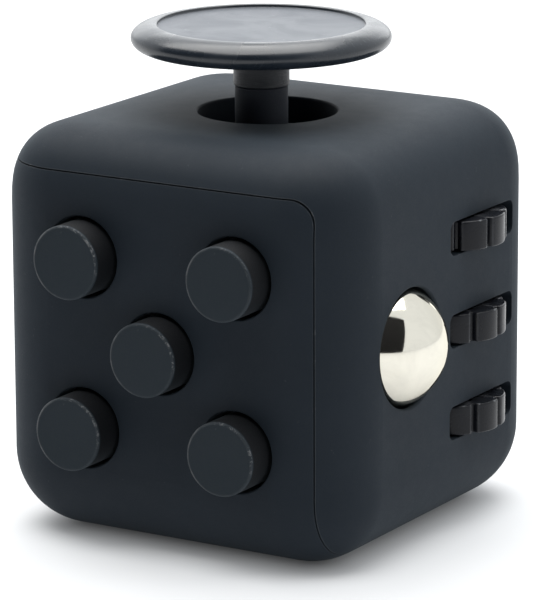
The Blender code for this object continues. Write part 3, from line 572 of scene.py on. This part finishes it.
# ---------------------------------------------------------------------------------------------
# joystick
# ---------------------------------------------------------------------------------------------
RIM_UP, RIM_DOWN = 1.10, 0.96             # how far the rim stands above and below its widest line
rim_z = CAP_TOP - RIM_UP - 0.002 - TOP
REC_Z = rim_z + RIM_UP - 0.3
cap_prof = [(0.0, REC_Z - 0.03), (3.0, REC_Z - 0.028), (6.0, REC_Z - 0.015), (7.9, REC_Z), (8.16, REC_Z + 0.012), (8.25, REC_Z + 0.04), (8.29, REC_Z + 0.1),
            (8.31, rim_z + RIM_UP - 0.05), (8.35, rim_z + RIM_UP - 0.015), (8.42, rim_z + RIM_UP)]
cap_prof += [(8.42 + (CAP_R - 8.42) * math.sin(math.radians(t)) ** 1.06, rim_z + RIM_UP * math.cos(math.radians(t)) ** 0.98) for t in range(8, 86, 6)]
cap_prof += [(CAP_R, rim_z)]
cap_prof += [(9.1 + (CAP_R - 9.1) * math.cos(math.radians(t)), rim_z - RIM_DOWN * math.sin(math.radians(t))) for t in range(6, 91, 7)]
cap_prof += [(8.4, rim_z - 1.0), (7.0, rim_z - 1.1), (5.4, rim_z - 1.2), (4.2, rim_z - 1.32), (3.2, rim_z - 1.46),
             (2.7, rim_z - 1.62), (2.4, rim_z - 1.85), (2.27, rim_z - 2.15), (2.25, rim_z - 2.5), (2.25, 2.12), (2.19, 2.05), (1.45, 2.05), (1.45, 4.3), (0.0, 4.3)]
cap = place("stick_cap", bm_turn(cap_prof, 160), (JX, JY, TOP))
stem_prof = [(0.0, 4.0), (1.15, 4.0), (1.15, 2.0), (2.05, 2.0), (2.13, 1.92), (2.13, 0.5), (2.13, -1.4), (2.2, -2.2), (2.5, -2.5), (8.7, -2.5), (8.9, -2.6), (8.9, -3.6), (8.8, -3.7), (0.0, -3.7)]
post_piece = place("stick_post", bm_turn(stem_prof, 96), (JX, JY, TOP))

# ---------------------------------------------------------------------------------------------
# ball and thumb gears
# ---------------------------------------------------------------------------------------------
bm = bmesh.new()
bmesh.ops.create_uvsphere(bm, u_segments=128, v_segments=80, radius=BALL_R * K)
ball = place("steel_ball", bm, BALL, "+X")

PHASE = {"upper": -31.5, "middle": -14.5, "lower": -12.5}


def gear_loop(phase, tip, root, teeth=10, n=28):
    """Broad crowns with a narrow rounded dent between neighbours."""
    pts = []
    for k in range(teeth):
        for i in range(n):
            u = -0.5 + i / n
            f = abs(u)
            if f < 0.38:
                crown = 1.0 - 0.16 * (f / 0.38) ** 2.2
            else:
                crown = 0.84 * (0.5 + 0.5 * math.cos(math.pi * min(1.0, (f - 0.38) / 0.085)))
            a = math.radians(phase + (k + u) * 360.0 / teeth)
            r = root + (tip - root) * crown
            pts.append((r * math.cos(a), r * math.sin(a)))
    return pts


gears = {}
for k, z in GEARS.items():
    bm = bm_prism(gear_loop(PHASE[k], GEAR_R, 4.38), 1.2, [(0, 0, 1.08, 48)], 0.16, 5)
    gears[k] = place("gear_wheel_" + k, bm, (GEARX, GEARY, z))

# ---------------------------------------------------------------------------------------------
# dial and rocker
# ---------------------------------------------------------------------------------------------
dx = DIAL_LO[0] + 3.6
dial_prof = [(0.0, 3.58)] + [(0.5, 3.57), (1.0, 3.5), (1.45, 3.35), (1.85, 3.1), (2.2, 2.72), (2.5, 2.2), (2.75, 1.68), (3.05, 1.34), (3.5, 1.1), (4.2, 0.97), (5.1, 0.9), (6.0, 0.97), (6.7, 1.13),
                               (7.2, 1.34), (7.6, 1.6), (7.9, 1.8), (8.2, 1.93), (8.5, 1.9), (8.75, 1.76), (8.93, 1.52), (9.0, 1.25), (9.0, 0.08), (8.92, 0.0), (2.0, 0.0), (2.0, -1.6), (0.8, -1.6), (0.8, 0.8), (0.0, 0.8)]
dial = place("dial_skin", bm_turn(dial_prof, 144), (dx, 0, MIDZ), "-X")
for v in dial.data.vertices:
    rad = v.co.xy.length / K
    if rad > 8.0:                   # finger scallops round the dial's edge
        ang = math.atan2(v.co.y, v.co.x)
        cut = 0.16 * max(0.0, math.cos(24 * ang)) * min(1.0, (rad - 8.0) / 0.6)
        v.co.x *= (rad - cut) / rad
        v.co.y *= (rad - cut) / rad

tilt = math.tan(math.radians(10.0))
L = 6.9


def rocker_loop():
    up = [(L, 3.4 + L * tilt - 0.42), (L - 0.05, 3.4 + L * tilt - 0.22), (L - 0.18, 3.4 + L * tilt - 0.1), (L - 0.4, 3.4 + L * tilt - 0.075)]
    up += [(L * 0.8, 3.4 + L * 0.8 * tilt - 0.02), (L * 0.5, 3.4 + L * 0.5 * tilt), (L * 0.25, 3.4 + L * 0.25 * tilt), (L * 0.1, 3.4 + L * 0.11 * tilt), (0.0, 3.4 + 0.02)]
    low = [(-L, 1.0), (-L * 0.75, 0.6), (-2.2, -0.6), (-1.5, -2.0), (-0.7, -3.2), (0.0, -3.4)]
    return up + [(-a, b) for a, b in up[:-1][::-1]] + low + [(-a, b) for a, b in low[:-1][::-1]]


a = math.radians(10.0)
loop = [(u * math.cos(a) - v * math.sin(a), u * math.sin(a) + v * math.cos(a)) for u, v in rocker_loop()]
bm = bm_prism(loop, 4.6, [(0, 0, 1.08, 32)], 0.3, 5)
rock = place("rocker_skin", bm)
rock.matrix_world = Matrix.Translation(Vector((0, 13.0, MIDZ)) * K) @ Matrix(((0, 0, -1, 0), (0, 1, 0, 0), (1, 0, 0, 0), (0, 0, 0, 1)))


# ---------------------------------------------------------------------------------------------
# finishes
# ---------------------------------------------------------------------------------------------
def edge_of(t, radius_mm):
    """0 on plain faces to 1 on sharp edges: how far a rounded normal turns from the true one."""
    b = t.node("ShaderNodeBevel", samples=6)
    b.inputs["Radius"].default_value = radius_mm * K
    g = t.node("ShaderNodeNewGeometry")
    d = t.node("ShaderNodeVectorMath", operation="DOT_PRODUCT")
    t.put(d.inputs[0], b.outputs[0])
    t.put(d.inputs[1], g.outputs["Normal"])
    return t.math("SUBTRACT", 1.0, d.outputs["Value"]), b.outputs[0]


def casing_wear(t, c, r):
    edge, _ = edge_of(t, 0.14)
    flecks = t.ramp(t.noise(0.7, 3.0, 0.6), 0.57, 0.70)
    m = t.math("MULTIPLY", t.ramp(edge, 0.03, 0.16), t.ramp(flecks, 0.0, 1.0, 0.20, 0.60))
    c = t.mix(m, c, (0.16, 0.165, 0.17))
    return c, r


def key_wear_and_painted_light(t, c, r):
    """The rim of a button is rubbed: a thin pale line, strongest on two arcs, with specks at the upper right, where
    the arc is a painted highlight of light catching the rim. The side wall is darker than the face: painted shade.
    """
    x, y, z = t.xyz()
    rad = t.length2(x, y)
    top = BUTTON_FRONT * K
    # painted shade: everything below the key's face, the side wall included, is painted darker
    c = t.mix(t.ramp(z, top - 0.00034, top - 0.00022, 1.0, 0.0), c, (0.0036, 0.0042, 0.0056))
    right = t.math("ADD", t.math("MULTIPLY", x, 0.72), t.math("MULTIPLY", y, 0.69))
    left = t.math("MULTIPLY", x, -1.0)
    each = t.node("ShaderNodeObjectInfo").outputs["Random"]      # no two buttons are rubbed alike
    w = t.math("MULTIPLY", each, 40.0)
    speck = t.ramp(t.noise(3.6, 4.0, 0.7, w=w), 0.50, 0.60)
    long_speck = t.ramp(t.noise(0.8, 3.0, 0.6, w=w), 0.40, 0.60)
    at_rim = t.math("MULTIPLY", t.ramp(rad, 0.00272, 0.00282), t.ramp(z, top - 0.00022, top - 0.00010))
    arc_left = t.math("MULTIPLY", t.ramp(left, 0.0004, 0.0026, 0.12, 0.62), t.ramp(long_speck, 0.0, 1.0, 0.45, 1.0))
    # painted highlight: the upper right arc of the rim is painted pale and speckled where light catches it
    lit_arc_highlight = t.math("MULTIPLY", t.ramp(right, 0.0008, 0.0025, 0.0, 1.0), speck)
    m = t.math("MULTIPLY", at_rim, t.math("MAXIMUM", arc_left, t.math("MULTIPLY", lit_arc_highlight, t.ramp(each, 0.1, 0.9, 0.35, 1.0))))
    c = t.mix(m, c, (0.125, 0.13, 0.135))
    return c, r


def cap_floor(t, c, r, n):
    """The recessed disc on the cap has a brighter satin film than the rim, with a few dust specks."""
    x, y, z = t.xyz()
    rad = t.length2(x, y)
    inside = t.math("MULTIPLY", t.ramp(rad, 0.00822, 0.00832, 1.0, 0.0), t.ramp(z, (REC_Z - 0.2) * K, (REC_Z - 0.1) * K))
    c = t.mix(inside, c, (0.074, 0.085, 0.103))
    specks = t.math("MULTIPLY", t.ramp(t.noise(1.9, 2.0, 0.5), 0.745, 0.785), inside)
    c = t.mix(specks, c, (0.17, 0.18, 0.19))
    r = t.math("ADD", r, t.math("MULTIPLY", inside, 0.26))
    # the short collar underneath is bare: paler, satin, with drag lines round it, bumped in and also painted as pale
    # streaks that are painted highlights, and a painted highlight along its lower edge
    collar = t.math("MULTIPLY", t.ramp(z, (rim_z - 1.75) * K, (rim_z - 1.62) * K, 1.0, 0.0), t.ramp(rad, 0.00262, 0.00275, 1.0, 0.0))
    m = t.node("ShaderNodeMapping")
    t.put(m.inputs["Vector"], t.coord)
    m.inputs["Scale"].default_value = (1.0, 1.0, 9.0)
    m.inputs["Rotation"].default_value = (0.10, -0.06, 0.0)
    drag_and_glints = t.ramp(t.noise(1.5, 4.0, 0.7, vector=m.outputs[0]), 0.42, 0.66)
    # painted highlight: a pale band round the collar's lower edge
    low = t.ramp(z, 0.00222, 0.00228, 1.0, 0.0)
    c = t.mix(t.math("MULTIPLY", collar, t.math("MAXIMUM", drag_and_glints, low)), c, (0.050, 0.054, 0.060))
    c = t.mix(t.math("MULTIPLY", collar, 0.5), c, (0.030, 0.033, 0.038))
    r = t.math("ADD", r, t.math("MULTIPLY", collar, 0.14))
    n = t.bump(t.math("MULTIPLY", drag_and_glints, collar), 0.02, 0.6, n)
    return c, r, n


def gear_edges(t, c, r, n):
    """Every edge of a tooth catches the light as a thin line."""
    sharp = t.node("ShaderNodeNewGeometry").outputs["Pointiness"]
    m = t.math("MULTIPLY", t.ramp(sharp, 0.525, 0.60), t.ramp(t.noise(0.9, 3.0, 0.6), 0.30, 0.60, 0.45, 1.0))
    c = t.mix(m, c, (0.125, 0.13, 0.14))
    return c, r, n


M = {}
M["casing"] = soft_touch("soft_touch_casing", (0.0092, 0.0146, 0.0214), (0.0122, 0.0180, 0.0262), 0.72, wear_and_painted_light=casing_wear)
M["key"] = soft_touch("soft_touch_key", (0.0130, 0.0198, 0.0262), (0.0160, 0.0235, 0.0305), 0.70, wear_and_painted_light=key_wear_and_painted_light)
M["cap"] = gloss("cap_gloss", (0.011, 0.0155, 0.022), 0.24, 0.15, extra=cap_floor)
M["gear"] = gloss("gear_gloss", (0.0046, 0.0054, 0.0080), 0.25, 0.18, extra=gear_edges)
M["gear"].node_tree.nodes["Principled BSDF"].inputs["Specular IOR Level"].default_value = 0.21
M["dial"] = gloss("dial_gloss", (0.012, 0.013, 0.016), 0.14, 0.3)
M["rocker"] = gloss("rocker_gloss", (0.012, 0.014, 0.017), 0.16, 0.3)
M["stem"] = soft_touch("stem_matt", (0.027, 0.031, 0.041), (0.038, 0.042, 0.052), 0.60)
M["ball"] = metal("ball_chrome", (0.765, 0.735, 0.645), 0.07)
M["ball"].node_tree.nodes["Principled BSDF"].inputs["Specular Tint"].default_value = (0.86, 0.84, 0.78, 1.0)
M["steel"] = metal("bright_steel", (0.56, 0.56, 0.55), 0.24, True)
M["spring"] = metal("spring_steel", (0.44, 0.44, 0.43), 0.27, True)
M["frame"] = plain_moulded("inner_moulding", (0.050, 0.053, 0.058), 0.5)
M["slip"] = plain_moulded("slip_plastic", (0.50, 0.51, 0.50), 0.33)
M["silicone"] = plain_moulded("silicone", (0.24, 0.25, 0.26), 0.62)


def finish_piece(ob, mat, node, body, angle=40):
    ob.data.materials.clear()
    ob.data.materials.append(M[mat])
    for p in ob.data.polygons:
        p.material_index = 0
    smooth(ob, angle)
    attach(ob, body)
    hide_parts(node)


BODY = {n: b for b, ns in frame["record"]["behaviour"]["bodies"].items() for n in ns}
for ob, mat, node, slot in [(front, "casing", "shell_front", "shell"), (rear, "casing", "shell_rear", "shell"), (cap, "cap", "joystick_cap", "joystick_cap"),
                            (post_piece, "stem", "joystick_stem", "joystick_stem"), (ball, "ball", "roller_ball", "ball"),
                            (dial, "dial", "spin_dial", "dial"), (rock, "rocker", "rocker", "rocker")]:
    finish_piece(ob, mat, node, BODY[node], 32 if ob in (front, rear) else 40)
for k, ob in keys.items():
    finish_piece(ob, "key", "button_" + k, BODY["button_" + k])
for k, ob in gears.items():
    finish_piece(ob, "gear", "thumb_gear_" + k, BODY["thumb_gear_" + k], 50)

for node, ob in snaps.items():
    finish_piece(ob, "spring" if "dome" in node else "silicone", node, BODY[node])
    x, y, z = ncentre(node)
    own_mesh(ob)

for n, ob in frame["nodes"].items():
    if ob.hide_render:
        continue
    low = n.lower()
    kind = ("spring" if "spring" in low or "dome" in low else "silicone" if "pad" in low else
            "steel" if any(w in low for w in ("screw", "axle", "pin")) or low == "dial_washer" else
            "slip" if low in ("glide_washer", "ball_seat") else "frame")
    ob.data.materials.clear()
    ob.data.materials.append(M[kind])
    ob.data.update()

# ---------------------------------------------------------------------------------------------
# studio: a pale floor, a white surround, soft boxes and dark flags on the camera's side
# ---------------------------------------------------------------------------------------------
def stage_plane(name, size, at, normal, mat, camera=True):
    bm = bmesh.new()
    bmesh.ops.create_grid(bm, x_segments=1, y_segments=1, size=0.5)
    mesh = bpy.data.meshes.new(name)
    bm.to_mesh(mesh)
    bm.free()
    ob = bpy.data.objects.new(name, mesh)
    bpy.context.scene.collection.objects.link(ob)
    ob.scale = (size[0], size[1], 1)
    ob.location = at
    ob.rotation_mode = "QUATERNION"
    ob.rotation_quaternion = Vector(normal).to_track_quat("Z", "Y")
    mesh.materials.append(mat)
    ob.visible_camera = camera
    return ob


t = Tree("paper_floor")
grain = t.noise(0.9, 3.0, 0.5)
t.set(colour=t.mix(t.ramp(grain, 0.3, 0.7), (0.385, 0.392, 0.402), (0.397, 0.402, 0.410)), rough=0.75, normal=t.bump(grain, 0.01, 0.2))
t.bsdf.inputs["Emission Color"].default_value = (0.96, 0.98, 1.0, 1.0)
# the floor's glow fades out where the cube comes down on the floor: a painted contact shadow, dark round the cube's
# foot
x, y, _ = t.xyz(t.node("ShaderNodeNewGeometry").outputs["Position"])
foot = (HALF - EDGE_R) * K
away = t.length2(t.math("MAXIMUM", t.math("SUBTRACT", t.math("ABSOLUTE", x), foot), 0.0), t.math("MAXIMUM", t.math("SUBTRACT", t.math("ABSOLUTE", y), foot), 0.0))
t.put(t.bsdf.inputs["Emission Strength"], t.ramp(away, 0.0, 0.0085, 0.02, 0.46))
FLOOR_MAT = t.mat
t = Tree("dark_flag")
t.set(colour=t.mix(t.noise(0.02), (0.010, 0.010, 0.011), (0.016, 0.016, 0.017)), rough=0.9, spec=0.1)
FLAG_MAT = t.mat

stage_plane("floor", (12, 12), (0, 0, -0.00002), (0, 0, 1), FLOOR_MAT)

world = bpy.data.worlds.new("surround")
bpy.context.scene.world = world
world.use_nodes = True
bg = world.node_tree.nodes["Background"]
bg.inputs["Color"].default_value = (0.955, 0.98, 1.0, 1.0)
bg.inputs["Strength"].default_value = 1.06


def soft_box(name, at, look, size, watts, colour=(1, 1, 1)):
    light = bpy.data.lights.new(name, "AREA")
    light.shape = "RECTANGLE"
    light.size, light.size_y = size
    light.energy = watts
    light.color = colour
    ob = bpy.data.objects.new(name, light)
    bpy.context.scene.collection.objects.link(ob)
    ob.location = at
    ob.rotation_mode = "QUATERNION"
    ob.rotation_quaternion = (Vector(at) - Vector(look)).to_track_quat("Z", "Y")
    return ob


soft_box("top_box", (-0.15, 0.10, 0.75), (0, 0, 0.02), (0.9, 0.9), 12.5, (1.0, 0.985, 0.96))
back = soft_box("back_box", (-0.46, 0.76, 0.30), (0, 0, 0.03), (1.1, 0.42), 1.9, (0.97, 0.985, 1.0))
back.visible_camera = False

# flags: what the faces turned to the camera mirror
CAM = Vector((0.175876, -0.289167, 0.102032))
for name, size, at in (("flag_centre", (1.3, 1.1), (0.36, -0.62, 0.45)), ("flag_left", (1.0, 1.1), (-0.45, -0.55, 0.42))):
    ob = stage_plane(name, size, at, Vector((0, 0, 0.02)) - Vector(at), FLAG_MAT, camera=False)
    ob.visible_shadow = False

# ---------------------------------------------------------------------------------------------
# camera
# ---------------------------------------------------------------------------------------------
cam = bpy.data.cameras.new("camera")
cam.lens, cam.sensor_width, cam.sensor_fit = 259.495, 36.0, "AUTO"
cam.clip_start, cam.clip_end = 0.01, 50
cam_ob = bpy.data.objects.new("camera", cam)
bpy.context.scene.collection.objects.link(cam_ob)
right = Vector((0.85487493, 0.51881773, -0.00412449))
up = Vector((-0.12252807, 0.2096059, 0.97007847))
forward = Vector((-0.50415843, 0.8287904, -0.24275657))
m = Matrix.Identity(4)
for i in range(3):
    m[i][0], m[i][1], m[i][2], m[i][3] = right[i], up[i], -forward[i], CAM[i]
cam_ob.matrix_world = m
bpy.context.scene.camera = cam_ob
bpy.context.scene.view_settings.view_transform = "Standard"
bpy.context.scene.view_settings.look = "None"
